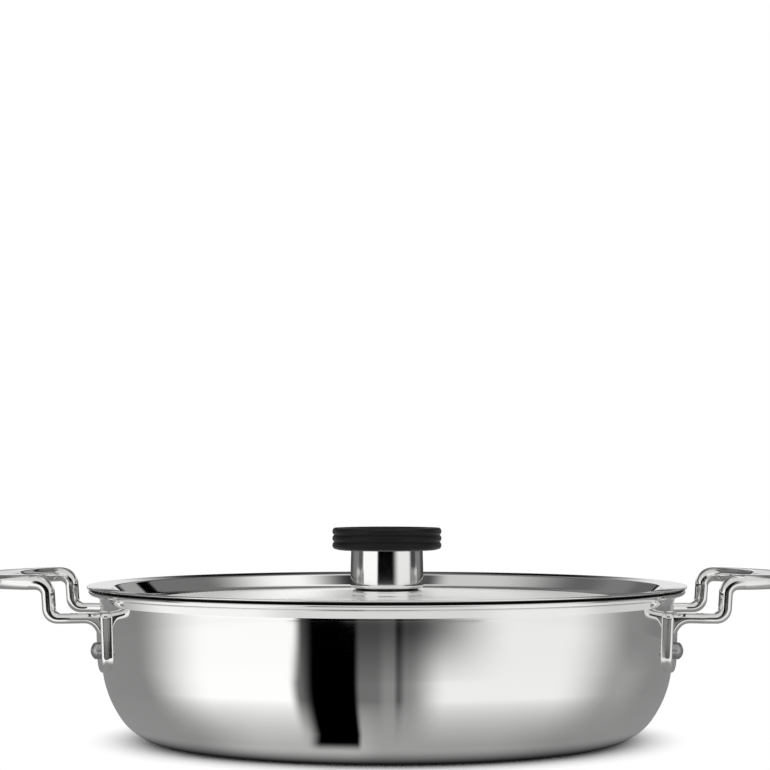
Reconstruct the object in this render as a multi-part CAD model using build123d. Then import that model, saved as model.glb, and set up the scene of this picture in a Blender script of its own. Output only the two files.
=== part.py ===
from build123d import *
import math
import os

# A stainless steel braiser with its lid on, in millimetres.
# The origin is the centre of the pan's underside. +Z is up, and the loop handles lie along +X and -X.

# Pan: one deep-drawn clad sheet. A flat base turns into the wall through two tangent arcs,
# the straight wall leans outwards, and the top flares into a pouring lip.
pan_sheet = 2.6
base_flat_r = 111.0
corner_low_r = 26.5
corner_high_r = 53.3
corner_change_deg = 54.2
wall_lean_deg = 2.1
pan_height = 75.2
lip_under_r = 4.3

# Lid: a thin pressed sheet. The brim lies on the lip, and the panel sinks into the mouth.
lid_sheet = 1.2
lid_overhang = 0.85
lid_seat_gap = 0.4
brim_rise_deg = 3.8
mouth_play = 3.7
step_slope_deg = 42.7
panel_sink = 6.9
step_top_fillet = 2.0
step_foot_fillet = 6.0

# Handles: cast loops. Each arm runs straight out from its tang, climbs an S-bend and joins the grip plate.
arm_width = 9.0
arm_thick = 4.7
arm_spacing = 92.0
arm_below_rim = 10.3
arm_root_length = 14.0
arm_turn_r = 12.0
leg_gap = 11.8
leg_thick = 6.2
leg_lean_deg = 4.0
leg_foot_outer_r = 7.4
leg_foot_inner_r = 2.7
leg_head_outer_r = 9.2
leg_head_inner_r = 2.8
grip_top_above_rim = 8.4
grip_thick = 7.2
grip_tip_droop = 0.8
grip_reach = 44.1
finger_reach = 18.5
handle_edge_r = 1.9

# Tangs: flat plates that hug the wall below the arms, with a gusset under each arm.
tang_thick = 3.2
tang_width = 15.0
tang_above_arm = 0.6
tang_below_arm = 28.9
tang_shoulder_r = 3.0
tang_edge_r = 1.2
tang_bite = 1.3
gusset_r = 7.5
gusset_sink = 0.15

# Rivets: solid, set through tang and wall.
rivet_below_arm = 18.1
rivet_shank_r = 2.5
rivet_hole_play = 0.05
rivet_head_r = 4.1
rivet_head_height = 4.1
rivet_head_side = 2.0
rivet_inner_head_r = 4.6
rivet_inner_head_height = 1.8
rivet_inner_head_side = 0.5
rivet_inner_head_sink = 0.3

# Knob: a turned stand-off, a hollow post with a flange, a cap, and a silicone ring round both.
stand_off_r = 17.85
stand_off_height = 4.9
stand_off_side = 2.8
neck_r = 15.9
neck_height = 1.0
post_r = 18.2
post_sheet = 1.2
post_height = 26.2
post_foot_r = 2.8
flange_r = 23.6
flange_root_r = 1.6
cap_thick = 1.6
cap_edge_r = 0.5

# Grip ring: three convex ribs outside, a groove inside that holds the flange and the cap.
ring_r = 27.5
ring_rib_depth = 0.9
ring_height = 11.1
ring_above_cap = 2.4
ring_play = 0.1
ring_bore_play = 0.1
ring_foot_r = 24.4
ring_foot_height = 0.6
ring_foot_bore_r = 21.6
ring_foot_recess = 0.4
ring_lip_bore_r = 20.5
ring_lip_edge_r = 0.8
ring_rib_count = 3

# Screw: M5, from below the lid into the boss inside the post.
screw_r = 2.5
screw_hole_play = 0.25
screw_thread_play = 0.05
screw_length = 19.0
screw_head_r = 5.0
screw_head_height = 2.4
screw_head_edge_r = 1.6
washer_r = 7.0
washer_thick = 1.0
insert_r = 6.0
insert_height = 13.0
insert_foot_r = 9.0
insert_foot_height = 1.6

# Room by which a cutting shape runs past what it cuts, and the least length that counts as one.
overrun = 5.0
tolerance = 0.01

# Places worked out from the sizes above.
lean = math.radians(90 - wall_lean_deg)
change = math.radians(corner_change_deg)
lip_centre_z = pan_height - pan_sheet - lip_under_r
wall_head_z = lip_centre_z + lip_under_r * math.cos(lean)


def arc_end(centre, radius, angle):
    """Point on a corner arc whose tangent has climbed by the angle from horizontal."""
    return (centre[0] + radius * math.sin(angle), centre[1] - radius * math.cos(angle))


low_centre = (base_flat_r, corner_low_r)
high_centre = arc_end(low_centre, corner_low_r - corner_high_r, change)
wall_foot = arc_end(high_centre, corner_high_r, lean)
wall_climb = wall_head_z - wall_foot[1]
wall_head_r = wall_foot[0] + wall_climb / math.tan(lean)
lip_centre_r = wall_head_r + lip_under_r * math.sin(lean)
lip_tip_r = lip_centre_r + pan_sheet / 2
mouth_r = wall_head_r - pan_sheet * math.sin(lean)


def wall_r(z):
    """Outer radius of the straight wall at a height."""
    return wall_head_r - (wall_head_z - z) / math.tan(lean)


def pan_skin(depth):
    """Line of the sheet in the XZ plane, a depth inside its outer face, from the axis to the crest."""
    sheet_lip_r = lip_under_r + depth
    low_r = corner_low_r - depth
    high_r = corner_high_r - depth
    low = arc_end(low_centre, low_r, change)
    high = arc_end(high_centre, high_r, lean)
    head = arc_end((lip_centre_r, lip_centre_z), -sheet_lip_r, lean)
    first = arc_end(low_centre, low_r, change / 2)
    second = arc_end(high_centre, high_r, (change + lean) / 2)
    third = arc_end((lip_centre_r, lip_centre_z), -sheet_lip_r, lean / 2)
    crest = (lip_centre_r, lip_centre_z + sheet_lip_r)
    return [
        Line((0, depth), (base_flat_r, depth)),
        ThreePointArc((base_flat_r, depth), first, low),
        ThreePointArc(low, second, high),
        Line(high, head),
        ThreePointArc(head, third, crest),
    ]


def turned(outline, plane=Plane.XZ):
    """Solid of revolution about the Z axis of a closed outline drawn in the XZ plane."""
    return revolve(plane * make_face(outline), Axis.Z)


def turned_steps(points):
    """Solid of revolution of a stepped outline given as radius and height pairs."""
    return turned(Polyline(*points, close=True))


def drill(radius, low, high):
    """Cylinder on the Z axis between two heights."""
    return Pos(0, 0, low) * Cylinder(radius, high - low, align=(Align.CENTER, Align.CENTER, Align.MIN))


def make_pan_wall():
    """Pan without its rivet holes."""
    outer = pan_skin(0)
    inner = pan_skin(pan_sheet)
    nose = ThreePointArc(outer[-1] @ 1, (lip_tip_r, pan_height - pan_sheet / 2), inner[-1] @ 1)
    axis = Line(outer[0] @ 0, inner[0] @ 0)
    return turned(outer + inner + [nose, axis])


def make_pan_envelope():
    """All the room inside the pan's outer face, which trims the tangs to the wall."""
    outer = pan_skin(0)
    top = (0, (outer[-1] @ 1).Y)
    return turned(outer + [Line(outer[-1] @ 1, top), Line(top, outer[0] @ 0)])


# Handle places. The arm's root points away from the pan's axis, then turns parallel to X.
arm_top_z = pan_height - arm_below_rim
arm_foot_z = arm_top_z - arm_thick
grip_top_z = pan_height + grip_top_above_rim
grip_foot_z = grip_top_z - grip_thick
tang_face_r = wall_r(arm_foot_z) + tang_thick / math.sin(lean)
root_end_r = tang_face_r + arm_root_length
half_spacing = arm_spacing / 2
splay = math.atan2(arm_turn_r, root_end_r)
splay += math.asin((half_spacing - arm_turn_r) / math.hypot(root_end_r, arm_turn_r))
leg_x = lip_tip_r + leg_gap + leg_thick / 2
grip_end_x = leg_x + grip_reach
turn_centre = (root_end_r * math.cos(splay) + arm_turn_r * math.sin(splay), half_spacing - arm_turn_r)
rivet_z = arm_foot_z - rivet_below_arm + arm_thick
splay_deg = math.degrees(splay)

# Plane that stands on the wall at a rivet: X runs along the wall, Y up it and Z out of it.
outward = (math.cos(splay) * math.sin(lean), math.sin(splay) * math.sin(lean), -math.cos(lean))
along = (-math.sin(splay), math.cos(splay), 0)
rivet_seat = (wall_r(rivet_z) * math.cos(splay), wall_r(rivet_z) * math.sin(splay), rivet_z)
tang_plane = Plane(origin=rivet_seat, x_dir=along, z_dir=outward)

# Upright plane through the pan's axis and the tang: X runs away from the axis and Y up.
root_dir = (math.cos(splay), math.sin(splay), 0)
root_plane = Plane(origin=(0, 0, 0), x_dir=root_dir, z_dir=(math.sin(splay), -math.cos(splay), 0))


def make_loop_plan():
    """Plan of the arms and the grip plate, seen from above."""
    half_width = arm_width / 2
    end = Vector(math.cos(splay), math.sin(splay)) * root_end_r
    side = Vector(-math.sin(splay), math.cos(splay)) * half_width
    lines = []
    for reach, offset in ((grip_reach, half_width), (finger_reach, -half_width)):
        arm_y = half_spacing + offset
        lines.append(EllipticalCenterArc((leg_x, 0), reach, arm_y, start_angle=-90, arc_size=180))
        turn = CenterArc(turn_centre, arm_turn_r + offset, 90, splay_deg)
        arm = Line((leg_x, arm_y), (turn_centre[0], arm_y))
        lines += [turn, arm, turn.mirror(Plane.XZ), arm.mirror(Plane.XZ)]
    cap = Line(end + side, end - side)
    return make_face(lines + [cap, cap.mirror(Plane.XZ)])


def make_loop_side():
    """Side view of the arm, the S-bend and the grip plate in the XZ plane, with its bends rounded."""
    start_x = root_end_r * math.cos(splay) - arm_width
    end_x = grip_end_x + overrun
    middle_z = (arm_top_z + grip_foot_z) / 2

    def leg_face(x, z):
        """Point of a leaning leg face that passes through x at mid height."""
        return (x + (z - middle_z) * math.tan(math.radians(leg_lean_deg)), z)

    inside = leg_x - leg_thick / 2
    outside = leg_x + leg_thick / 2
    end_drop = grip_tip_droop * (end_x - leg_x) / grip_reach
    foot = FilletPolyline(
        (start_x, arm_foot_z),
        leg_face(outside, arm_foot_z),
        leg_face(outside, grip_foot_z),
        (end_x, grip_foot_z),
        radius=[leg_foot_outer_r, leg_head_inner_r],
    )
    top = FilletPolyline(
        (end_x, grip_top_z - end_drop),
        leg_face(inside, grip_top_z),
        leg_face(inside, arm_top_z),
        (start_x, arm_top_z),
        radius=[leg_head_outer_r, leg_foot_inner_r],
    )
    return make_face(foot.edges() + top.edges() + [Line(foot @ 1, top @ 0), Line(top @ 1, foot @ 0)])


def make_loop():
    """Arms and grip plate: the plan and the side view carried through each other, with rounded edges."""
    plan = extrude(make_loop_plan(), grip_top_z + overrun)
    side = extrude(Plane.XZ * make_loop_side(), half_spacing + arm_width, both=True)
    loop = plan & side
    ends = loop.faces().filter_by(Axis((0, 0, 0), root_dir))
    ends += loop.faces().filter_by(Axis((0, 0, 0), (root_dir[0], -root_dir[1], 0)))
    left_sharp = loop.edges().filter_by(Axis.Y) + loop.edges().filter_by(Axis.Z) + ends.edges()
    return fillet([edge for edge in loop.edges() if edge not in left_sharp], handle_edge_r)


def make_root():
    """Root of an arm from the section where the loop starts to the tang, with the gusset below it."""
    low_z = arm_foot_z - gusset_r
    inner_r = wall_r(low_z) - tang_bite
    skin = tang_thick / math.sin(lean) - gusset_sink
    outline = FilletPolyline(
        (root_end_r, arm_foot_z),
        (wall_r(arm_foot_z) + skin, arm_foot_z),
        (wall_r(low_z) + skin, low_z),
        radius=gusset_r,
    )
    rest = Polyline(
        outline @ 1, (inner_r, low_z), (inner_r, arm_top_z), (root_end_r, arm_top_z), outline @ 0,
    )
    root = extrude(make_face(outline.edges() + rest.edges()), arm_width / 2, both=True)
    rims = []
    for edge in root.edges():
        middle = edge.center()
        on_side = abs(middle.Z) > arm_width / 2 - tolerance
        inside = inner_r + tolerance < middle.X < root_end_r - tolerance
        if on_side and inside and middle.Y > low_z + tolerance:
            rims.append(edge)
    return root_plane * fillet(rims, handle_edge_r)


def make_tang():
    """Plate on the wall: round below, with small shoulders above and a rounded face edge."""
    half = tang_width / 2
    top = (arm_top_z + tang_above_arm - rivet_z) / math.sin(lean)
    low = (arm_top_z - tang_below_arm - rivet_z) / math.sin(lean)
    sides = Polyline((-half, low + half), (-half, top), (half, top), (half, low + half))
    bottom = ThreePointArc(sides @ 1, (0, low), sides @ 0)
    outline = make_face(sides.edges() + [bottom])
    outline = fillet(outline.vertices().group_by(Axis.Y)[-1], tang_shoulder_r)
    plate = extrude(Pos(0, 0, -tang_bite) * outline, tang_bite + tang_thick)
    return tang_plane * fillet(plate.faces().sort_by(Axis.Z)[-1].edges(), tang_edge_r)


def make_rivet_hole():
    """Drill through tang and wall, square to the wall."""
    reach = pan_sheet + tang_thick + overrun
    return tang_plane * Cylinder(rivet_shank_r + rivet_hole_play, reach + reach)


def make_handle(envelope):
    """Handle on the +X side: loop, two roots and two tangs, trimmed to the wall and drilled."""
    one_side = make_root() + make_tang()
    handle = make_loop() + one_side + one_side.mirror(Plane.XZ)
    hole = make_rivet_hole()
    return handle - envelope - hole - hole.mirror(Plane.XZ)


def dome(radius, edge_z, crown_z):
    """Arc of a low round head in the XZ plane, from its edge to its crown on the axis."""
    rise = crown_z - edge_z
    sphere_r = (radius * radius + rise * rise) / (2 * rise)
    half = math.asin(radius / abs(sphere_r)) / 2
    middle = (abs(sphere_r) * math.sin(half), crown_z - sphere_r + sphere_r * math.cos(half))
    return ThreePointArc((radius, edge_z), middle, (0, crown_z))


def make_rivet(pan_wall):
    """Rivet of the +X, +Y tang: head on the tang, shank through the wall, domed head inside the pan."""
    outer_dome = dome(rivet_head_r, tang_thick + rivet_head_side, tang_thick + rivet_head_height)
    foot = -pan_sheet - rivet_inner_head_side
    shaft = Polyline(
        outer_dome @ 0, (rivet_head_r, tang_thick), (rivet_shank_r, tang_thick),
        (rivet_shank_r, foot), (0, foot), outer_dome @ 1,
    )
    body = turned([outer_dome] + shaft.edges())
    inner_dome = dome(rivet_inner_head_r, foot, -pan_sheet - rivet_inner_head_height)
    seat = rivet_inner_head_sink - pan_sheet
    rest = Polyline(inner_dome @ 0, (rivet_inner_head_r, seat), (0, seat), inner_dome @ 1)
    head = turned([inner_dome] + rest.edges())
    return tang_plane * body + (tang_plane * head - pan_wall)


# Lid places. The corners are those of the top face, before the bends are rounded.
lid_r = lip_tip_r + lid_overhang
brim_rise = math.radians(brim_rise_deg)
step_slope = math.radians(step_slope_deg)
screw_hole_r = screw_r + screw_hole_play


def brim_z(r):
    """Height of the brim's top face at a radius."""
    over_lip = pan_height + lid_seat_gap + lid_sheet / math.cos(brim_rise)
    return over_lip + (r - lip_centre_r) * math.tan(brim_rise)


step_top_r = mouth_r - mouth_play
panel_z = brim_z(step_top_r) - panel_sink
step_foot_r = step_top_r - panel_sink / math.tan(step_slope)


def below(point, angle_in, angle_out):
    """Corner of the lid's underside that belongs to a corner of its top face."""
    mean = (angle_in + angle_out) / 2
    reach = lid_sheet / math.cos((angle_out - angle_in) / 2)
    return (point[0] + reach * math.sin(mean), point[1] - reach * math.cos(mean))


def make_lid_shell():
    """Pressed lid: flat panel with the screw hole, sloped step, brim with a rounded edge."""
    rim_r = lid_r - lid_sheet / 2 * (math.cos(brim_rise) + math.sin(brim_rise))
    foot = (step_foot_r, panel_z)
    head = (step_top_r, brim_z(step_top_r))
    rim = (rim_r, brim_z(rim_r))
    top = FilletPolyline(
        (screw_hole_r, panel_z), foot, head, rim,
        radius=[step_foot_fillet, step_top_fillet + lid_sheet],
    )
    under = FilletPolyline(
        (screw_hole_r, panel_z - lid_sheet),
        below(foot, 0, step_slope),
        below(head, step_slope, brim_rise),
        below(rim, brim_rise, brim_rise),
        radius=[step_foot_fillet + lid_sheet, step_top_fillet],
    )
    middle = (Vector(top @ 1) + Vector(under @ 1)) / 2
    nose = middle + Vector(math.cos(brim_rise), math.sin(brim_rise)) * lid_sheet / 2
    edge = ThreePointArc(top @ 1, nose, under @ 1)
    return turned(top.edges() + under.edges() + [edge, Line(top @ 0, under @ 0)])


# Knob places.
post_z = panel_z + stand_off_height + neck_height
flange_top_z = post_z + post_height
flange_z = flange_top_z - post_sheet
cap_top_z = flange_top_z + cap_thick
ring_top_z = cap_top_z + ring_above_cap
ring_z = ring_top_z - ring_height


def make_knob_base():
    """Stand-off: low disc, cone and neck, drilled for the screw."""
    disc_z = panel_z + stand_off_side
    neck_z = panel_z + stand_off_height
    outline = [(screw_hole_r, panel_z), (stand_off_r, panel_z), (stand_off_r, disc_z)]
    outline += [(neck_r, neck_z), (neck_r, post_z), (screw_hole_r, post_z)]
    return turned_steps(outline)


def make_knob_post():
    """Hollow drawn post with a rounded foot and a flange at its top."""
    inner_r = post_r - post_sheet
    floor_z = post_z + post_sheet
    outer = FilletPolyline(
        (screw_hole_r, post_z), (post_r, post_z), (post_r, flange_z), (flange_r, flange_z),
        radius=[post_foot_r, flange_root_r],
    )
    inner = FilletPolyline(
        (flange_r, flange_top_z), (inner_r, flange_top_z), (inner_r, floor_z), (screw_hole_r, floor_z),
        radius=[flange_root_r + post_sheet, post_foot_r - post_sheet],
    )
    ends = [Line(outer @ 1, inner @ 0), Line(inner @ 1, outer @ 0)]
    return turned(outer.edges() + inner.edges() + ends)


def make_knob_cap():
    """Disc on the flange that closes the post, with a rounded upper edge."""
    disc = drill(flange_r, flange_top_z, cap_top_z)
    return fillet(disc.faces().sort_by(Axis.Z)[-1].edges(), cap_edge_r)


def make_knob_insert():
    """Threaded boss on the post's floor; the thread itself isn't cut."""
    floor_z = post_z + post_sheet
    bore_r = screw_r + screw_thread_play
    shoulder_z = floor_z + insert_foot_height
    top_z = floor_z + insert_height
    outline = [(bore_r, floor_z), (insert_foot_r, floor_z), (insert_foot_r, shoulder_z)]
    outline += [(insert_r, shoulder_z), (insert_r, top_z), (bore_r, top_z)]
    return turned_steps(outline)


def make_grip_ring():
    """Silicone ring: ribs outside, a foot bead, a groove for flange and cap, and a lip over the cap."""
    valley_r = ring_r - ring_rib_depth
    bore_r = post_r + ring_bore_play
    groove_r = flange_r + ring_play
    groove_z = flange_z - ring_play
    lip_z = cap_top_z + ring_play
    first_z = ring_z + ring_foot_height
    pitch = (ring_top_z - first_z) / ring_rib_count
    bottom_z = ring_z + ring_foot_recess
    lines = []
    for rib in range(ring_rib_count):
        low = first_z + rib * pitch
        lines.append(ThreePointArc((valley_r, low), (ring_r, low + pitch / 2), (valley_r, low + pitch)))
    inside = FilletPolyline(
        (valley_r, ring_top_z), (ring_lip_bore_r, ring_top_z), (ring_lip_bore_r, lip_z),
        radius=ring_lip_edge_r,
    )
    groove = Polyline((ring_lip_bore_r, lip_z), (groove_r, lip_z), (groove_r, groove_z))
    bore = FilletPolyline(
        (groove_r, groove_z), (bore_r, groove_z), (bore_r, bottom_z),
        radius=flange_root_r - ring_play,
    )
    foot = Polyline(
        (bore_r, bottom_z), (ring_foot_bore_r, bottom_z), (ring_foot_bore_r, ring_z),
        (ring_foot_r, ring_z), (valley_r, first_z),
    )
    return turned(lines + inside.edges() + groove.edges() + bore.edges() + foot.edges())


def make_screw_washer():
    """Plain washer against the panel's underside."""
    top_z = panel_z - lid_sheet
    low_z = top_z - washer_thick
    return drill(washer_r, low_z, top_z) - drill(screw_hole_r, low_z - overrun, top_z + overrun)


def make_knob_screw():
    """Screw with a low rounded head below the washer; the thread itself isn't cut."""
    seat_z = panel_z - lid_sheet - washer_thick
    head = drill(screw_head_r, seat_z - screw_head_height, seat_z)
    head = fillet(head.faces().sort_by(Axis.Z)[0].edges(), screw_head_edge_r)
    return head + drill(screw_r, seat_z, seat_z + screw_length)


def make_parts():
    """Every piece by its name."""
    pan_wall = make_pan_wall()
    handle = make_handle(make_pan_envelope())
    rivet = make_rivet(pan_wall)
    hole = make_rivet_hole()
    pan_body = pan_wall
    for side in (hole, hole.mirror(Plane.YZ)):
        pan_body = pan_body - side - side.mirror(Plane.XZ)
    return {
        "pan_body": pan_body,
        "left_handle": handle.mirror(Plane.YZ),
        "right_handle": handle,
        "left_front_rivet": rivet.mirror(Plane.XZ).mirror(Plane.YZ),
        "left_back_rivet": rivet.mirror(Plane.YZ),
        "right_front_rivet": rivet.mirror(Plane.XZ),
        "right_back_rivet": rivet,
        "lid_shell": make_lid_shell(),
        "knob_base": make_knob_base(),
        "knob_post": make_knob_post(),
        "knob_insert": make_knob_insert(),
        "knob_cap": make_knob_cap(),
        "knob_grip_ring": make_grip_ring(),
        "knob_screw": make_knob_screw(),
        "screw_washer": make_screw_washer(),
    }


os.makedirs("parts", exist_ok=True)
for name, shape in make_parts().items():
    export_step(shape, "parts/" + name + ".step")
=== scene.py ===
import math

import bpy
import numpy as np
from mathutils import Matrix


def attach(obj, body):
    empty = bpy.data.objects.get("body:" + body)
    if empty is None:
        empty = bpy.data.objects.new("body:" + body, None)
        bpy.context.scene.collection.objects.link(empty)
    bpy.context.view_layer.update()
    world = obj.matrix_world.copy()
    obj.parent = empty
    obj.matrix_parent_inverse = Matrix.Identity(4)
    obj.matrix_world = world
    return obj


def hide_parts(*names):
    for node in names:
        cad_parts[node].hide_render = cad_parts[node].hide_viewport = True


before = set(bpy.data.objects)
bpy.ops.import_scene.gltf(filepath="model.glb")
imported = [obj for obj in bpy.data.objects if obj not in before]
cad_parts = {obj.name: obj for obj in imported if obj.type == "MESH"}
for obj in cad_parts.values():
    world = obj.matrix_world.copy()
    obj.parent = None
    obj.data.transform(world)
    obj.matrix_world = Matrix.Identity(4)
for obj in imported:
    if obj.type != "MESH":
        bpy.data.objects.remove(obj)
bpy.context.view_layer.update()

MM = 0.001

# Pan, as drawn in the construction: clad sheet, two-arc corner, leaning wall, flared lip.
PAN_SHEET = 2.6 * MM
BASE_FLAT_R = 111.0 * MM
CORNER_LOW_R = 26.5 * MM
CORNER_HIGH_R = 53.3 * MM
CORNER_CHANGE = math.radians(54.2)
WALL_CLIMB = math.radians(90.0 - 2.1)
PAN_HEIGHT = 75.2 * MM
LIP_UNDER_R = 4.3 * MM

# Lid: pressed sheet with a sunk panel, a sloped step and a brim.
LID_SHEET = 1.2 * MM
LID_OVERHANG = 0.85 * MM
LID_SEAT_GAP = 0.4 * MM
BRIM_RISE = math.radians(3.8)
MOUTH_PLAY = 3.7 * MM
STEP_SLOPE = math.radians(42.7)
PANEL_SINK = 6.9 * MM
STEP_TOP_FILLET = 2.0 * MM
STEP_FOOT_FILLET = 6.0 * MM
# The panel's painted reflection stops this far short of the step's foot.
PANEL_PALE_SHORT_OF_STEP = 12.0 * MM
# Painted shade on the lower half of the brim's edge starts this far below its middle.
RIM_SHADE_BELOW_MIDDLE = 0.1 * MM

# Handles: arm, S-bend, grip plate and tang. A bite is how far a piece reaches into the one that it sits on.
ARM_WIDTH = 9.0 * MM
ARM_THICK = 4.7 * MM
ARM_Y = 46.0 * MM
ARM_BELOW_RIM = 10.3 * MM
ARM_ROOT_LENGTH = 14.0 * MM
ARM_TURN_R = 12.0 * MM
ARM_BITES = (1.0 * MM, 0.3 * MM)
LEG_GAP = 11.8 * MM
LEG_THICK = 6.2 * MM
LEG_LEAN = math.radians(4.0)
LEG_FOOT_OUTER_R = 7.4 * MM
LEG_FOOT_INNER_R = 2.7 * MM
LEG_HEAD_OUTER_R = 9.2 * MM
LEG_HEAD_INNER_R = 2.8 * MM
GRIP_TOP_ABOVE_RIM = 8.4 * MM
GRIP_THICK = 7.2 * MM
GRIP_TIP_DROOP = 0.8 * MM
GRIP_REACH = 44.1 * MM
FINGER_REACH = 18.5 * MM
EDGE_SHARE = 0.43
TANG_THICK = 3.2 * MM
TANG_WIDTH = 15.0 * MM
TANG_ABOVE_ARM = 0.6 * MM
TANG_BELOW_ARM = 28.9 * MM
TANG_SHOULDER_R = 3.0 * MM
TANG_EDGE_R = 1.55 * MM
TANG_BITE = 1.3 * MM
GUSSET_R = 7.5 * MM
HANDLE_SHARP_DEGREES = 40

# Rivets: outer and inner heads.
RIVET_BELOW_ARM = 18.1 * MM
RIVET_R = 4.1 * MM
RIVET_HEIGHT = 4.1 * MM
RIVET_SIDE = 2.0 * MM
RIVET_INNER_R = 4.6 * MM
RIVET_INNER_HEIGHT = 1.8 * MM
RIVET_INNER_SIDE = 0.5 * MM
RIVET_BITE = 0.3 * MM
RIVET_SHARP_DEGREES = 50

# Knob: stand-off, post, cap and ribbed ring.
STAND_OFF_R = 17.6 * MM
STAND_OFF_HEIGHT = 4.9 * MM
STAND_OFF_EDGE_R = 0.8 * MM
STAND_OFF_GROOVE = 2.4 * MM
GROOVE_DEPTH = 0.25 * MM
NECK_R = 15.6 * MM
NECK_HEIGHT = 1.0 * MM
POST_R = 18.2 * MM
POST_HEIGHT = 26.2 * MM
POST_SHEET = 1.2 * MM
POST_FOOT_R = 1.6 * MM
POST_DRAFT = 0.3 * MM
FLANGE_R = 23.6 * MM
FLANGE_ROOT_R = 1.6 * MM
CAP_THICK = 1.6 * MM
CAP_EDGE_R = 0.5 * MM
RING_R = 27.5 * MM
RING_RIB_DEPTH = 0.9 * MM
RING_HEIGHT = 11.1 * MM
RING_ABOVE_CAP = 2.4 * MM
RING_BORE_PLAY = 0.1 * MM
RING_FOOT_R = 24.4 * MM
RING_FOOT_HEIGHT = 0.6 * MM
RING_FOOT_BORE_R = 21.6 * MM
RING_FOOT_RECESS = 0.4 * MM
RING_LIP_BORE_R = 20.5 * MM
RING_LIP_EDGE_R = 0.8 * MM
RING_RIBS = 3
TURNED_EDGE_R = 0.35 * MM
CRISP_EDGE_R = TURNED_EDGE_R / 4
RING_EDGE_R = TURNED_EDGE_R / 2

# Fineness of the surfaces: steps round the axis, steps of an arc, and steps along a straight.
ROUND_STEPS = 512
KNOB_STEPS = 256
RIVET_STEPS = 64
ARC_STEPS = 24
FINE_ARC_STEPS = 10
STRAIGHT_STEPS = 8
SHORT_STEPS = 4
LEG_STEPS = 6
GUSSET_POINTS = 18
TURN_POINTS = 12
SECTION_POINTS = 64
PLATE_POINTS = 90
TANG_END_STEPS = 32
TANG_SIDE_STEPS = 12
TANG_TOP_STEPS = 6
TANG_FACE_SHARES = (0.9, 0.5)
HEAD_STEPS = 3
CARD_STEPS = 64
ON_AXIS_R = 1e-9


def arc_end(centre, radius, angle):
    """Point on a corner arc whose tangent has climbed by the angle from horizontal."""
    return np.array([centre[0] + radius * math.sin(angle), centre[1] - radius * math.cos(angle)])


LOW_CENTRE = (BASE_FLAT_R, CORNER_LOW_R)
HIGH_CENTRE = arc_end(LOW_CENTRE, CORNER_LOW_R - CORNER_HIGH_R, CORNER_CHANGE)
WALL_FOOT = arc_end(HIGH_CENTRE, CORNER_HIGH_R, WALL_CLIMB)
LIP_Z = PAN_HEIGHT - PAN_SHEET - LIP_UNDER_R
WALL_HEAD_Z = LIP_Z + LIP_UNDER_R * math.cos(WALL_CLIMB)
WALL_HEAD_R = WALL_FOOT[0] + (WALL_HEAD_Z - WALL_FOOT[1]) / math.tan(WALL_CLIMB)
LIP_R = WALL_HEAD_R + LIP_UNDER_R * math.sin(WALL_CLIMB)
LIP_TIP_R = LIP_R + PAN_SHEET / 2
MOUTH_R = WALL_HEAD_R - PAN_SHEET * math.sin(WALL_CLIMB)


def wall_r(z):
    """Outer radius of the straight wall at a height."""
    return WALL_HEAD_R - (WALL_HEAD_Z - z) / math.tan(WALL_CLIMB)


# Mesh building

def straight(start, end, steps=STRAIGHT_STEPS):
    """Points from start to end, close together near both ends: a cosine spacing along the line."""
    share = (1 - np.cos(np.linspace(0, math.pi, steps + 1))) / 2
    return np.asarray(start) + share[:, None] * (np.asarray(end) - np.asarray(start))


def arc(centre, radius, start, end, steps=ARC_STEPS):
    """Points of a circular arc: centre plus radius times (cos, sin) of an angle from start to end."""
    angle = np.linspace(start, end, steps + 1)
    return np.asarray(centre) + radius * np.stack([np.cos(angle), np.sin(angle)], 1)


def chain(*stretches):
    """One line of points from several that meet end to end, with the doubled meeting points left out."""
    points = [stretches[0]]
    for stretch in stretches[1:]:
        points.append(stretch[1:])
    return np.concatenate(points)


def rounded(corners, radii, arc_steps=FINE_ARC_STEPS, steps=STRAIGHT_STEPS):
    """Line through corners whose bends are arcs. A bend starts radius times tan(half the turn) before its
    corner."""
    corners = [np.asarray(corner, float) for corner in corners]
    stretches = []
    last = corners[0]
    for before, corner, after, radius in zip(corners, corners[1:], corners[2:], radii):
        into = (corner - before) / np.linalg.norm(corner - before)
        out = (after - corner) / np.linalg.norm(after - corner)
        turn = math.atan2(into[0] * out[1] - into[1] * out[0], into @ out)
        reach = radius * math.tan(abs(turn) / 2)
        side = math.copysign(1, turn)
        centre = corner - into * reach + side * radius * np.array([-into[1], into[0]])
        start = math.atan2(-side * into[0], side * into[1])
        stretches.append(straight(last, corner - into * reach, steps))
        stretches.append(arc(centre, radius, start, start + turn, arc_steps))
        last = corner + out * reach
    stretches.append(straight(last, corners[-1], steps))
    return chain(*stretches)


def outward(points, faces):
    """Faces of a closed shell, turned outwards by the sign of the volume that they enclose."""
    first, second, third, fourth = (points[faces[:, corner]] for corner in range(4))
    volume = np.einsum("ij,ij->i", first, np.cross(second, third) + np.cross(third, fourth)).sum()
    return faces if volume > 0 else faces[:, ::-1]


def new_object(name, points, faces):
    """Object in the scene with a mesh of points and faces."""
    mesh = bpy.data.meshes.new(name)
    mesh.from_pydata(points.tolist(), [], faces)
    made = bpy.data.objects.new(name, mesh)
    bpy.context.scene.collection.objects.link(made)
    return made


def shell_object(name, shells):
    """Smooth object of one or more closed shells, each its points and its faces."""
    points, faces, count = [], [], 0
    for shell_points, shell_faces in shells:
        points.append(shell_points)
        faces.append(outward(shell_points, shell_faces) + count)
        count += len(shell_points)
    corners = [list(dict.fromkeys(face)) for face in np.concatenate(faces).tolist()]
    piece = new_object(name, np.concatenate(points), corners)
    mesh = piece.data
    mesh.validate()
    mesh.polygons.foreach_set("use_smooth", np.ones(len(mesh.polygons), dtype=bool))
    mesh.update()
    return piece


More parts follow.
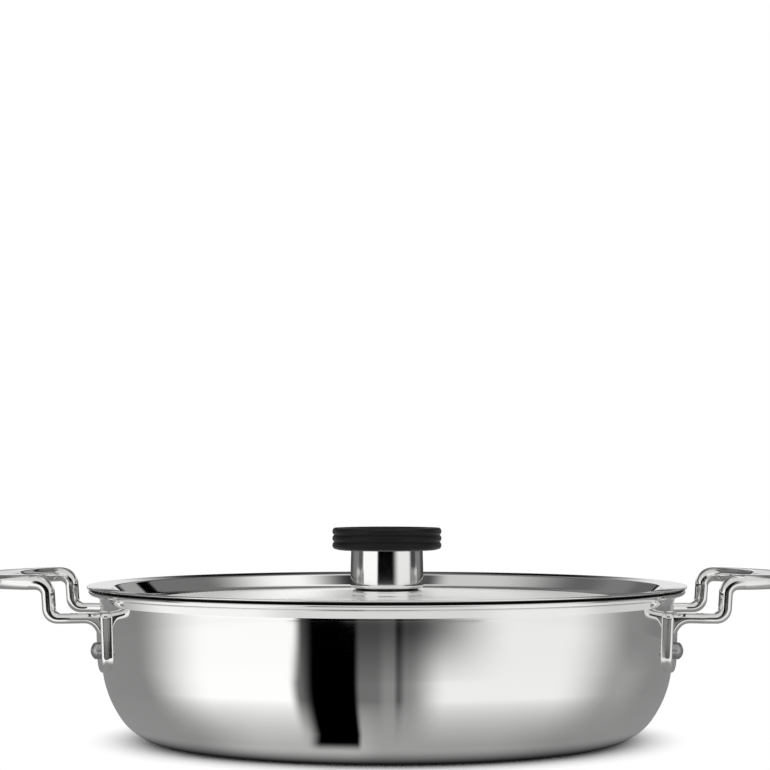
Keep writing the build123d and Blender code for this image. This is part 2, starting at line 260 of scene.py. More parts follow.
def grid_faces(rows, columns, close_rows=False):
    """Quads of a grid of points that is closed across its columns, and also along its rows if asked."""
    row = np.arange(rows if close_rows else rows - 1)[:, None]
    column = np.arange(columns)[None, :]
    next_row = (row + 1) % rows
    next_column = (column + 1) % columns
    corners = [row * columns + column, row * columns + next_column]
    corners += [next_row * columns + next_column, next_row * columns + column]
    return np.stack(np.broadcast_arrays(*corners), -1).reshape(-1, 4)


def fan(centre, ring, next_ring):
    """Triangles from a centre point to a ring of points, as quads that name their last corner twice."""
    return np.stack([np.full(len(ring), centre), ring, next_ring, next_ring], 1)


def capped_tube(grid, ends=None):
    """Points and faces of a tube of sections, closed at both ends by a fan round an end point. The end points
    are the middles of the end sections unless they are given."""
    if ends is None:
        ends = np.stack([grid[0].mean(0), grid[-1].mean(0)])
    rows, columns, _ = grid.shape
    count = rows * columns
    column = np.arange(columns)
    next_column = (column + 1) % columns
    last = count - columns
    fans = [fan(count, next_column, column), fan(count + 1, last + column, last + next_column)]
    faces = np.concatenate([grid_faces(rows, columns), *fans])
    return np.concatenate([grid.reshape(-1, 3), ends]), faces


def turned_grid(profile, steps):
    """Grid of points: each profile point (r, z) goes round the Z axis as (r cos a, r sin a, z)."""
    angle = np.arange(steps) * (2 * math.pi / steps)
    r, z = profile[:, 0, None], profile[:, 1, None]
    return np.stack(np.broadcast_arrays(r * np.cos(angle), r * np.sin(angle), z), -1)


def turned_shell(profile, steps):
    """Points and faces of a profile turned round the axis, with poles if it starts and ends on the axis."""
    if max(profile[0, 0], profile[-1, 0]) > ON_AXIS_R:
        points = turned_grid(profile, steps).reshape(-1, 3)
        return points, grid_faces(len(profile), steps, close_rows=True)
    poles = np.array([[0, 0, profile[0, 1]], [0, 0, profile[-1, 1]]])
    return capped_tube(turned_grid(profile[1:-1], steps), poles)


def turned_object(name, profile, steps):
    """Object of a profile turned round the pan's axis."""
    return shell_object(name, [turned_shell(profile, steps)])


def sharpen(piece, degrees):
    """Keeps edges sharp where the faces beside them meet at more than the angle."""
    piece.data.set_sharp_from_angle(angle=math.radians(degrees))


def paint_light_on_faces(piece, material, chosen):
    """Another material on the faces that a test of their centres' radius and height picks out. The script
    paints shade and a reflection with it.
    """
    centres = np.empty(3 * len(piece.data.polygons))
    piece.data.polygons.foreach_get("center", centres)
    index = np.empty(len(piece.data.polygons), dtype=np.int32)
    piece.data.polygons.foreach_get("material_index", index)
    index[chosen(np.hypot(centres[0::3], centres[1::3]), centres[2::3])] = len(piece.data.materials)
    piece.data.materials.append(material)
    piece.data.polygons.foreach_set("material_index", index)


def finish_piece(piece, body, slot, material, *nodes):
    """Gives a piece its body, its material and the nodes that it stands for. The slot is not used."""
    piece.data.materials.append(material)
    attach(piece, body)
    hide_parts(*nodes)
    return piece


# Shader nodes

# Sockets of a colour mix: its two colours among the inputs, and its result among the outputs.
MIX_FIRST, MIX_SECOND, MIX_RESULT = 6, 7, 2


def feed(links, value, socket):
    """Feeds an input from another node's socket, or sets it to a number or a colour."""
    if isinstance(value, bpy.types.NodeSocket):
        links.new(value, socket)
    else:
        socket.default_value = value


def math_node(nodes, links, operation, *values):
    """Result of an operation on sockets and numbers."""
    node = nodes.new("ShaderNodeMath")
    node.operation = operation
    for index, value in enumerate(values):
        feed(links, value, node.inputs[index])
    return node.outputs[0]


def separated(nodes, links, vector):
    """X, Y and Z of a vector."""
    node = nodes.new("ShaderNodeSeparateXYZ")
    links.new(vector, node.inputs[0])
    return node.outputs


def combined(nodes, links, **parts):
    """Vector of the X, Y and Z that are given, with 0 for the rest."""
    node = nodes.new("ShaderNodeCombineXYZ")
    for axis, socket in parts.items():
        links.new(socket, node.inputs[axis])
    return node.outputs[0]


def length(nodes, links, vector):
    """Length of a vector."""
    node = nodes.new("ShaderNodeVectorMath")
    node.operation = "LENGTH"
    links.new(vector, node.inputs[0])
    return node.outputs["Value"]


def map_range(nodes, links, value, given, wanted=(0.0, 1.0), kind="LINEAR"):
    """Value carried evenly from a given range to a wanted one, and held at its ends."""
    node = nodes.new("ShaderNodeMapRange")
    node.interpolation_type = kind
    for label, number in zip(("From Min", "From Max", "To Min", "To Max"), (*given, *wanted)):
        node.inputs[label].default_value = number
    links.new(value, node.inputs["Value"])
    return node.outputs[0]


def soft_step(nodes, links, value, edge):
    """0 below the start of an edge and 1 above its end, with a soft change between."""
    return map_range(nodes, links, value, edge, kind="SMOOTHSTEP")


def mix_colour(nodes, links, factor, first, second, blend="MIX"):
    """Mix of two colours, each a socket, a colour or a grey number."""
    node = nodes.new("ShaderNodeMix")
    node.data_type = "RGBA"
    node.blend_type = blend
    feed(links, factor, node.inputs["Factor"])
    for index, value in ((MIX_FIRST, first), (MIX_SECOND, second)):
        is_grey = isinstance(value, (int, float))
        feed(links, (value, value, value, 1) if is_grey else value, node.inputs[index])
    return node.outputs[MIX_RESULT]


def mix_shader(nodes, links, factor, first, second):
    """Mix of two shaders."""
    node = nodes.new("ShaderNodeMixShader")
    for index, socket in enumerate((factor, first, second)):
        links.new(socket, node.inputs[index])
    return node.outputs[0]


def noise(nodes, links, vector, scale, detail, harshness=0.5):
    """Noise between 0 and 1 over a vector."""
    node = nodes.new("ShaderNodeTexNoise")
    links.new(vector, node.inputs["Vector"])
    feed(links, scale, node.inputs["Scale"])
    node.inputs["Detail"].default_value = detail
    node.inputs["Roughness"].default_value = harshness
    return node.outputs["Fac"]


def bump(nodes, links, height, distance, strength):
    """Bump node for a height."""
    node = nodes.new("ShaderNodeBump")
    node.inputs["Distance"].default_value = distance
    feed(links, strength, node.inputs["Strength"])
    links.new(height, node.inputs["Height"])
    return node


# Materials

# Polish: the noise of its buffing streaks and its faint clouds, and how far they change the steel.
STREAK_DETAIL = 6.0
STREAK_HARSHNESS = 0.65
CLOUD_DETAIL = 3.0
NOISE_MEAN = 0.5
CLOUD_RANGE = (0.3, 0.7)
TINT_RANGE = (0.94, 1.0)
LEAST_ROUGHNESS = 0.01
WAVE_HEIGHT = 0.2 * MM
STREAK_HEIGHT = 0.01 * MM

# Silicone: a fine grain, and patches between two near-blacks and between two roughnesses.
GRAIN_SCALE, GRAIN_DETAIL = 2600.0, 4.0
GRAIN_HEIGHT, GRAIN_STRENGTH = 0.05 * MM, 0.25
PATCH_SCALE, PATCH_DETAIL = 90.0, 5.0
SILICONE_DARK = (0.002, 0.002, 0.0022, 1)
SILICONE_PALE = (0.006, 0.006, 0.0066, 1)
SILICONE_ROUGHNESS = (0.38, 0.5)
SILICONE_SPECULAR = 0.26


def new_material(name):
    """Node material with a Principled shader."""
    material = bpy.data.materials.new(name)
    material.use_nodes = True
    nodes, links = material.node_tree.nodes, material.node_tree.links
    return material, nodes, links, nodes["Principled BSDF"]


def polish_group():
    """Polished metal. Tint darkens in faint clouds, Roughness gains buffing streaks, and Normal gets the same
    streaks and a slow waviness. Streaks are noise stretched by the Stretch vector."""
    group = bpy.data.node_groups.new("polish", "ShaderNodeTree")
    sockets = (
        ("INPUT", "Vector", "NodeSocketVector"),
        ("INPUT", "Stretch", "NodeSocketVector"),
        ("INPUT", "Roughness", "NodeSocketFloat"),
        ("INPUT", "Streaks", "NodeSocketFloat"),
        ("INPUT", "Waves", "NodeSocketFloat"),
        ("INPUT", "Wave Scale", "NodeSocketFloat"),
        ("OUTPUT", "Tint", "NodeSocketFloat"),
        ("OUTPUT", "Roughness", "NodeSocketFloat"),
        ("OUTPUT", "Normal", "NodeSocketVector"),
    )
    for in_out, label, kind in sockets:
        group.interface.new_socket(name=label, in_out=in_out, socket_type=kind)
    nodes, links = group.nodes, group.links
    given = nodes.new("NodeGroupInput").outputs
    out = nodes.new("NodeGroupOutput").inputs

    stretched = nodes.new("ShaderNodeVectorMath")
    stretched.operation = "MULTIPLY"
    links.new(given["Vector"], stretched.inputs[0])
    links.new(given["Stretch"], stretched.inputs[1])
    streaks = noise(nodes, links, stretched.outputs[0], 1.0, STREAK_DETAIL, STREAK_HARSHNESS)
    clouds = noise(nodes, links, given["Vector"], given["Wave Scale"], CLOUD_DETAIL)

    centred = math_node(nodes, links, "SUBTRACT", streaks, NOISE_MEAN)
    rough = math_node(nodes, links, "MULTIPLY_ADD", centred, given["Streaks"], given["Roughness"])
    links.new(math_node(nodes, links, "MAXIMUM", rough, LEAST_ROUGHNESS), out["Roughness"])
    links.new(map_range(nodes, links, clouds, CLOUD_RANGE, TINT_RANGE), out["Tint"])

    waves = bump(nodes, links, clouds, WAVE_HEIGHT, given["Waves"])
    grain = bump(nodes, links, streaks, STREAK_HEIGHT, given["Streaks"])
    links.new(waves.outputs["Normal"], grain.inputs["Normal"])
    links.new(grain.outputs["Normal"], out["Normal"])
    return group


POLISH = polish_group()


def ring_vector(nodes, links, place):
    """A place as (radius, 0, height), so that streaks run round the axis."""
    x, y, z = separated(nodes, links, place)
    radius = length(nodes, links, combined(nodes, links, X=x, Y=y))
    return combined(nodes, links, X=radius, Z=z)


def steel(name, colour, roughness, streaks, waves, wave_scale, streak_scale, round_axis=True,
          metallic=1.0, specular=0.5):
    """Polished stainless steel, with buffing streaks round the axis or with fine specks all over."""
    material, nodes, links, shader = new_material(name)
    shader.inputs["Metallic"].default_value = metallic
    shader.inputs["Specular IOR Level"].default_value = specular
    polish = nodes.new("ShaderNodeGroup")
    polish.node_tree = POLISH
    polish.inputs["Stretch"].default_value = (streak_scale, streak_scale, streak_scale)
    polish.inputs["Roughness"].default_value = roughness
    polish.inputs["Streaks"].default_value = streaks
    polish.inputs["Waves"].default_value = waves
    polish.inputs["Wave Scale"].default_value = wave_scale
    place = nodes.new("ShaderNodeTexCoord").outputs["Object"]
    links.new(ring_vector(nodes, links, place) if round_axis else place, polish.inputs["Vector"])
    tinted = mix_colour(nodes, links, 1.0, (*colour, 1), polish.outputs["Tint"], "MULTIPLY")
    links.new(tinted, shader.inputs["Base Color"])
    links.new(polish.outputs["Roughness"], shader.inputs["Roughness"])
    links.new(polish.outputs["Normal"], shader.inputs["Normal"])
    return material


def silicone(name):
    """Matte black silicone: near-black, with a soft sheen in patches and a fine grain."""
    material, nodes, links, shader = new_material(name)
    place = nodes.new("ShaderNodeTexCoord").outputs["Object"]
    patches = noise(nodes, links, place, PATCH_SCALE, PATCH_DETAIL)
    links.new(mix_colour(nodes, links, patches, SILICONE_DARK, SILICONE_PALE), shader.inputs["Base Color"])
    links.new(map_range(nodes, links, patches, (0.0, 1.0), SILICONE_ROUGHNESS), shader.inputs["Roughness"])
    shader.inputs["Specular IOR Level"].default_value = SILICONE_SPECULAR
    height = noise(nodes, links, place, GRAIN_SCALE, GRAIN_DETAIL)
    grain = bump(nodes, links, height, GRAIN_HEIGHT, GRAIN_STRENGTH)
    links.new(grain.outputs["Normal"], shader.inputs["Normal"])
    return material


WALL_STEEL = steel("wall_steel", (0.93, 0.93, 0.92), roughness=0.035, streaks=0.03, waves=0.03,
                   wave_scale=18.0, streak_scale=900.0)
LID_STEEL = steel("lid_steel", (0.94, 0.94, 0.93), roughness=0.05, streaks=0.04, waves=0.02,
                  wave_scale=14.0, streak_scale=700.0)
# Painted reflection: half matt, pale steel, so that the lid's panel shows bright like the studio it mirrors.
PANEL_PAINTED_REFLECTION = steel("panel_painted_reflection", (0.97, 0.97, 0.96), roughness=0.05, streaks=0.004, waves=0.004,
                    wave_scale=10.0, streak_scale=700.0, metallic=0.5, specular=0.0)
KNOB_STEEL = steel("knob_steel", (0.94, 0.94, 0.93), roughness=0.08, streaks=0.03, waves=0.02,
                   wave_scale=60.0, streak_scale=1400.0)
# Painted shade: near-black rough steel that stands for the shade in the gaps under the lid's brim and under
# the post.
PAINTED_SHADE_STEEL = steel("painted_shade_steel", (0.03, 0.03, 0.03), roughness=0.5, streaks=0.1, waves=0.05,
                  wave_scale=100.0, streak_scale=900.0)
CAST_STEEL = steel("cast_steel", (0.9, 0.9, 0.89), roughness=0.09, streaks=0.05, waves=0.12,
                   wave_scale=70.0, streak_scale=260.0, round_axis=False)
RIVET_STEEL = steel("rivet_steel", (0.5, 0.5, 0.5), roughness=0.34, streaks=0.2, waves=0.3,
                    wave_scale=400.0, streak_scale=1500.0, round_axis=False)
PLAIN_STEEL = steel("plain_steel", (0.6, 0.6, 0.6), roughness=0.25, streaks=0.1, waves=0.05,
                    wave_scale=100.0, streak_scale=900.0, round_axis=False)
SILICONE = silicone("black_silicone")


# Pan

def pan_skin(depth):
    """Sheet line a depth inside the outer face: base, two corner arcs, wall, lip arc up to the crest."""
    low_r, high_r, lip_r = CORNER_LOW_R - depth, CORNER_HIGH_R - depth, LIP_UNDER_R + depth
    high_end = arc_end(HIGH_CENTRE, high_r, WALL_CLIMB)
    lip_start = arc_end((LIP_R, LIP_Z), -lip_r, WALL_CLIMB)
    quarter = math.pi / 2
    return chain(
        straight((0, depth), (BASE_FLAT_R, depth), 2 * STRAIGHT_STEPS),
        arc(LOW_CENTRE, low_r, -quarter, CORNER_CHANGE - quarter),
        arc(HIGH_CENTRE, high_r, CORNER_CHANGE - quarter, WALL_CLIMB - quarter),
        straight(high_end, lip_start),
        arc((LIP_R, LIP_Z), lip_r, WALL_CLIMB + quarter, quarter),
    )


def make_pan():
    """Pan: outer line, rounded nose and inner line, turned round the axis."""
    half = PAN_SHEET / 2
    nose = arc((LIP_R, PAN_HEIGHT - half), half, -math.pi / 2, math.pi / 2, FINE_ARC_STEPS)
    profile = chain(pan_skin(0), nose, pan_skin(PAN_SHEET)[::-1])
    piece = turned_object("pan", profile, ROUND_STEPS)
    return finish_piece(piece, "pan", "polished_steel", WALL_STEEL, "pan_body")


# Lid

LID_R = LIP_TIP_R + LID_OVERHANG


def brim_z(r):
    """Height of the brim's top face at a radius."""
    return PAN_HEIGHT + LID_SEAT_GAP + LID_SHEET / math.cos(BRIM_RISE) + (r - LIP_R) * math.tan(BRIM_RISE)


STEP_TOP_R = MOUTH_R - MOUTH_PLAY
PANEL_Z = brim_z(STEP_TOP_R) - PANEL_SINK
STEP_FOOT_R = STEP_TOP_R - PANEL_SINK / math.tan(STEP_SLOPE)


def below(point, angle_in, angle_out):
    """Corner of the lid's underside that belongs to a corner of its top face."""
    mean = (angle_in + angle_out) / 2
    reach = LID_SHEET / math.cos((angle_out - angle_in) / 2)
    return (point[0] + reach * math.sin(mean), point[1] - reach * math.cos(mean))


def make_lid():
    """Lid: top line out to the brim's round edge and underside line back, turned round the axis. Its panel is
    half matt and pale, a painted reflection, and the lower half of the brim's edge is painted shade, dark like
    the gap under it."""
    rim_r = LID_R - LID_SHEET / 2 * (math.cos(BRIM_RISE) + math.sin(BRIM_RISE))
    foot, head, rim = (STEP_FOOT_R, PANEL_Z), (STEP_TOP_R, brim_z(STEP_TOP_R)), (rim_r, brim_z(rim_r))
    top = rounded([(0, PANEL_Z), foot, head, rim], [STEP_FOOT_FILLET, STEP_TOP_FILLET + LID_SHEET], ARC_STEPS)
    low_corners = [(0, PANEL_Z - LID_SHEET), below(foot, 0, STEP_SLOPE), below(head, STEP_SLOPE, BRIM_RISE)]
    low_corners.append(below(rim, BRIM_RISE, BRIM_RISE))
    under = rounded(low_corners, [STEP_FOOT_FILLET + LID_SHEET, STEP_TOP_FILLET], ARC_STEPS)
    middle = (top[-1] + under[-1]) / 2
    edge = arc(middle, LID_SHEET / 2, BRIM_RISE + math.pi / 2, BRIM_RISE - math.pi / 2, FINE_ARC_STEPS)
    piece = turned_object("lid", chain(top, edge, under[::-1]), ROUND_STEPS)
    finish_piece(piece, "lid", "lid_steel", LID_STEEL, "lid_shell")
    panel_r, panel_z = STEP_FOOT_R - PANEL_PALE_SHORT_OF_STEP, PANEL_Z - LID_SHEET / 2
    # Painted reflection: the panel is pale and half matt.
    paint_light_on_faces(piece, PANEL_PAINTED_REFLECTION, lambda r, z: (r < panel_r) & (z > panel_z))
    shade_r, shade_z = rim_r - LID_SHEET, middle[1] - RIM_SHADE_BELOW_MIDDLE
    # Painted shade: the lower half of the brim's edge is dark, like the gap under it.
    paint_light_on_faces(piece, PAINTED_SHADE_STEEL, lambda r, z: (r > shade_r) & (z < shade_z))
    return piece


# Knob

STAND_OFF_Z = PANEL_Z + STAND_OFF_HEIGHT
POST_Z = STAND_OFF_Z + NECK_HEIGHT
FLANGE_TOP_Z = POST_Z + POST_HEIGHT
FLANGE_Z = FLANGE_TOP_Z - POST_SHEET
CAP_TOP_Z = FLANGE_TOP_Z + CAP_THICK
RING_TOP_Z = CAP_TOP_Z + RING_ABOVE_CAP
RING_Z = RING_TOP_Z - RING_HEIGHT


def make_stand_off():
    """Stand-off: a disc with a fine groove round its side and a rounded upper edge, and a neck. Its upper
    face and its neck are painted shade, dark like the gap under the post."""
    groove_z = PANEL_Z + STAND_OFF_GROOVE
    corners = [
        (0, PANEL_Z),
        (STAND_OFF_R, PANEL_Z),
        (STAND_OFF_R, groove_z - GROOVE_DEPTH),
        (STAND_OFF_R - GROOVE_DEPTH, groove_z),
        (STAND_OFF_R, groove_z + GROOVE_DEPTH),
        (STAND_OFF_R, STAND_OFF_Z),
        (NECK_R, STAND_OFF_Z),
        (NECK_R, POST_Z),
        (0, POST_Z),
    ]
    radii = [CRISP_EDGE_R] * 4 + [STAND_OFF_EDGE_R] + [CRISP_EDGE_R] * 2
    piece = turned_object("stand_off", rounded(corners, radii, steps=SHORT_STEPS), KNOB_STEPS)
    finish_piece(piece, "lid", "knob_steel", KNOB_STEEL, "knob_base")
    painted_shade_r, painted_shade_z = STAND_OFF_R - STAND_OFF_EDGE_R, STAND_OFF_Z - CRISP_EDGE_R
    # Painted shade on the upper face and the neck.
    paint_light_on_faces(piece, PAINTED_SHADE_STEEL, lambda r, z: (z > painted_shade_z) & (r < painted_shade_r))
    return piece


def make_post():
    """Post: rounded foot, side that narrows a little upwards, flange under the cap."""
    corners = [
        (0, POST_Z),
        (POST_R + POST_DRAFT, POST_Z),
        (POST_R - POST_DRAFT, FLANGE_Z),
        (FLANGE_R, FLANGE_Z),
        (FLANGE_R, FLANGE_TOP_Z),
        (0, FLANGE_TOP_Z),
    ]
    radii = [POST_FOOT_R, FLANGE_ROOT_R, TURNED_EDGE_R, TURNED_EDGE_R]
    piece = turned_object("post", rounded(corners, radii, ARC_STEPS), KNOB_STEPS)
    return finish_piece(piece, "lid", "knob_steel", KNOB_STEEL, "knob_post")


def make_cap():
    """Cap: a disc with a rounded upper edge."""
    corners = [(0, FLANGE_TOP_Z), (FLANGE_R, FLANGE_TOP_Z), (FLANGE_R, CAP_TOP_Z), (0, CAP_TOP_Z)]
    piece = turned_object("cap", rounded(corners, [CRISP_EDGE_R, CAP_EDGE_R]), KNOB_STEPS)
    return finish_piece(piece, "lid", "knob_steel", KNOB_STEEL, "knob_cap")


def make_ring():
    """Ring: each rib is an arc from valley to valley over its crest, and the inside follows the flange."""
    valley_r = RING_R - RING_RIB_DEPTH
    first_z = RING_Z + RING_FOOT_HEIGHT
    pitch = (RING_TOP_Z - first_z) / RING_RIBS
    rib_r = (RING_RIB_DEPTH ** 2 + (pitch / 2) ** 2) / (2 * RING_RIB_DEPTH)
    half_angle = math.asin(pitch / 2 / rib_r)
    ribs = []
    for rib in range(RING_RIBS):
        centre = (RING_R - rib_r, first_z + (rib + 0.5) * pitch)
        ribs.append(arc(centre, rib_r, -half_angle, half_angle, FINE_ARC_STEPS))
    bore_r = POST_R + RING_BORE_PLAY
    groove_r = FLANGE_R + RING_BORE_PLAY
    groove_z = FLANGE_Z - RING_BORE_PLAY
    lip_z = CAP_TOP_Z + RING_BORE_PLAY
    low_z = RING_Z + RING_FOOT_RECESS
    corners = [
        (valley_r, RING_TOP_Z),
        (RING_LIP_BORE_R, RING_TOP_Z),
        (RING_LIP_BORE_R, lip_z),
        (groove_r, lip_z),
        (groove_r, groove_z),
        (bore_r, groove_z),
        (bore_r, low_z),
        (RING_FOOT_BORE_R, low_z),
        (RING_FOOT_BORE_R, RING_Z),
        (RING_FOOT_R, RING_Z),
        (valley_r, first_z),
    ]
    radii = [RING_LIP_EDGE_R] + [RING_EDGE_R] * 3 + [FLANGE_ROOT_R - RING_BORE_PLAY] + [RING_EDGE_R] * 4
    inside = rounded(corners, radii, steps=SHORT_STEPS)
    piece = turned_object("grip_ring", chain(*ribs, inside)[:-1], KNOB_STEPS)
    return finish_piece(piece, "lid", "black_silicone", SILICONE, "knob_grip_ring")


# Handles

ARM_TOP_Z = PAN_HEIGHT - ARM_BELOW_RIM
ARM_FOOT_Z = ARM_TOP_Z - ARM_THICK
GRIP_TOP_Z = PAN_HEIGHT + GRIP_TOP_ABOVE_RIM
GRIP_FOOT_Z = GRIP_TOP_Z - GRIP_THICK
TANG_FACE_R = wall_r(ARM_FOOT_Z) + TANG_THICK / math.sin(WALL_CLIMB)
ROOT_END_R = TANG_FACE_R + ARM_ROOT_LENGTH
SPLAY = math.atan2(ARM_TURN_R, ROOT_END_R)
SPLAY += math.asin((ARM_Y - ARM_TURN_R) / math.hypot(ROOT_END_R, ARM_TURN_R))
LEG_X = LIP_TIP_R + LEG_GAP + LEG_THICK / 2
PLATE_START_X = LEG_X + LEG_HEAD_OUTER_R
OUTER_Y, INNER_Y = ARM_Y + ARM_WIDTH / 2, ARM_Y - ARM_WIDTH / 2
TURN_CENTRE = (ROOT_END_R * math.cos(SPLAY) + ARM_TURN_R * math.sin(SPLAY), ARM_Y - ARM_TURN_R)
RIVET_Z = ARM_FOOT_Z - RIVET_BELOW_ARM + ARM_THICK


def side_lines():
    """Top and bottom lines of the arm, (x, z), from the end of its turn to the end of its upper bend. Their
    points match one to one."""
    middle_z = (ARM_TOP_Z + GRIP_FOOT_Z) / 2

    def leg(x, z):
        return (x + (z - middle_z) * math.tan(LEG_LEAN), z)

    inside, outside = LEG_X - LEG_THICK / 2, LEG_X + LEG_THICK / 2
    start_x, end_x = TURN_CENTRE[0], PLATE_START_X
    low = [(start_x, ARM_FOOT_Z), leg(outside, ARM_FOOT_Z), leg(outside, GRIP_FOOT_Z), (end_x, GRIP_FOOT_Z)]
    top = [(start_x, ARM_TOP_Z), leg(inside, ARM_TOP_Z), leg(inside, GRIP_TOP_Z), (end_x, GRIP_TOP_Z)]
    low = rounded(low, [LEG_FOOT_OUTER_R, LEG_HEAD_INNER_R], ARC_STEPS, LEG_STEPS)
    top = rounded(top, [LEG_FOOT_INNER_R, LEG_HEAD_OUTER_R], ARC_STEPS, LEG_STEPS)
    return top, low


def rounded_section(half_width, half_height, radius):
    """Points round rounded rectangles, as distances across and up from their middles: four corner arcs of the
    radius joined by straights. The sizes are arrays, one entry per section."""
    angle = np.linspace(0, math.pi / 2, SECTION_POINTS // 4)
    across, up = [], []
    for quarter, (sign_a, sign_b) in enumerate(((1, 1), (-1, 1), (-1, -1), (1, -1))):
        turn = angle + quarter * math.pi / 2
        across.append(sign_a * (half_width - radius)[:, None] + radius[:, None] * np.cos(turn))
        up.append(sign_b * (half_height - radius)[:, None] + radius[:, None] * np.sin(turn))
    return np.concatenate(across, 1), np.concatenate(up, 1)


def root_sections():
    """Arm from inside the tang to the end of its turn: rounded rectangles square to a line in plan. Their
    foot drops along a quarter circle to make the gusset at the tang."""
    gusset = GUSSET_R * (1 - np.cos(np.linspace(0, math.pi / 2, GUSSET_POINTS)))
    depth = np.concatenate([-np.array(ARM_BITES), gusset, [ROOT_END_R - TANG_FACE_R]])
    inside = np.clip(GUSSET_R - depth, 0, GUSSET_R)
    drop = GUSSET_R - np.sqrt(GUSSET_R ** 2 - inside ** 2)
    reach = TANG_FACE_R + depth - drop / math.tan(WALL_CLIMB)
    root_plan = reach[:, None] * np.array([math.cos(SPLAY), math.sin(SPLAY)])
    root_side = np.broadcast_to([-math.sin(SPLAY), math.cos(SPLAY)], root_plan.shape)
    turn = np.linspace(SPLAY, 0, TURN_POINTS)[1:]
    turn_side = np.stack([-np.sin(turn), np.cos(turn)], 1)
    plan = np.concatenate([root_plan, np.array(TURN_CENTRE) + ARM_TURN_R * turn_side])
    side = np.concatenate([root_side, turn_side])
    foot = np.concatenate([ARM_FOOT_Z - drop, np.full(len(turn), ARM_FOOT_Z)])
    half_width = np.full(len(foot), ARM_WIDTH / 2)
    radius = np.full(len(foot), EDGE_SHARE * ARM_THICK)
    across, up = rounded_section(half_width, (ARM_TOP_Z - foot) / 2, radius)
    x = plan[:, :1] + across * side[:, :1]
    y = plan[:, 1:] + across * side[:, 1:]
    z = (ARM_TOP_Z + foot)[:, None] / 2 + up
    return np.stack([x, y, z], -1)


def bend_sections():
    """S-bend: rounded rectangles between the top and bottom lines of the side view. Past the middle of the
    leg their sides follow two half ellipses in plan."""
    top, low = side_lines()
    middle, rise = (top + low) / 2, (top - low) / 2
    height = np.linalg.norm(rise, axis=1)
    normal = rise / height[:, None]
    across, up = rounded_section(np.full(len(top), ARM_WIDTH / 2), height, EDGE_SHARE * 2 * height)
    x = middle[:, :1] + up * normal[:, :1]
    z = middle[:, 1:] + up * normal[:, 1:]
    past = np.clip(x - LEG_X, 0, None)
    outer_y = OUTER_Y * np.sqrt(1 - (past / GRIP_REACH) ** 2)
    inner_y = INNER_Y * np.sqrt(np.clip(1 - (past / FINGER_REACH) ** 2, 0, 1))
    y = (outer_y + inner_y) / 2 + across / (ARM_WIDTH / 2) * (outer_y - inner_y) / 2
    return np.stack([x, y, z], -1)


def half_ellipse(reach, half_span, share):
    """Plan points (reach sin a, half span cos a) past the leg, from the plate's start on to its tip."""
    start = math.asin(LEG_HEAD_OUTER_R / reach)
    angle = start + (math.pi / 2 - start) * share
    return np.stack([LEG_X + reach * np.sin(angle), half_span * np.cos(angle)], 1)


def plate_sections():
    """Grip plate up to its tip: rounded rectangles between the inner and the outer half ellipse. The top
    droops evenly towards the tip, and the underside stays level."""
    share = np.linspace(0, 1, PLATE_POINTS)[1:]
    inner_line = half_ellipse(FINGER_REACH, INNER_Y, share)
    outer_line = half_ellipse(GRIP_REACH, OUTER_Y, share)
    plan = (inner_line + outer_line) / 2
    width = (outer_line - inner_line) / 2
    half_width = np.linalg.norm(width, axis=1)
    side = width / half_width[:, None]
    half_height = np.full(len(share), GRIP_THICK / 2)
    across, up = rounded_section(half_width, half_height, EDGE_SHARE * 2 * half_height)
    x = plan[:, :1] + across * side[:, :1]
    y = plan[:, 1:] + across * side[:, 1:]
    droop = GRIP_TIP_DROOP * np.clip((x - PLATE_START_X) / (GRIP_REACH - LEG_HEAD_OUTER_R), 0, 1)
    z = (GRIP_TOP_Z + GRIP_FOOT_Z) / 2 + up - droop * (up + GRIP_THICK / 2) / GRIP_THICK
    return np.stack([x, y, z], -1)


def loop_tube():
    """Loop as a grid of sections from tang to tang: root, S-bend and plate of one side, then their mirror
    image."""
    one_side = np.concatenate([root_sections(), bend_sections()[1:], plate_sections()])
    other_side = one_side[:-1][::-1] * np.array([1, -1, 1])
    return np.concatenate([one_side, other_side])


def wall_frame(side):
    """Seat of a rivet on the wall: origin, direction along the wall, up the wall and out of it."""
    ahead = np.array([math.cos(SPLAY), side * math.sin(SPLAY), 0])
    rising = np.array([0, 0, 1])
    along = np.array([-math.sin(SPLAY), side * math.cos(SPLAY), 0])
    up = ahead * math.cos(WALL_CLIMB) + rising * math.sin(WALL_CLIMB)
    out = ahead * math.sin(WALL_CLIMB) - rising * math.cos(WALL_CLIMB)
    return ahead * wall_r(RIVET_Z) + rising * RIVET_Z, along, up, out


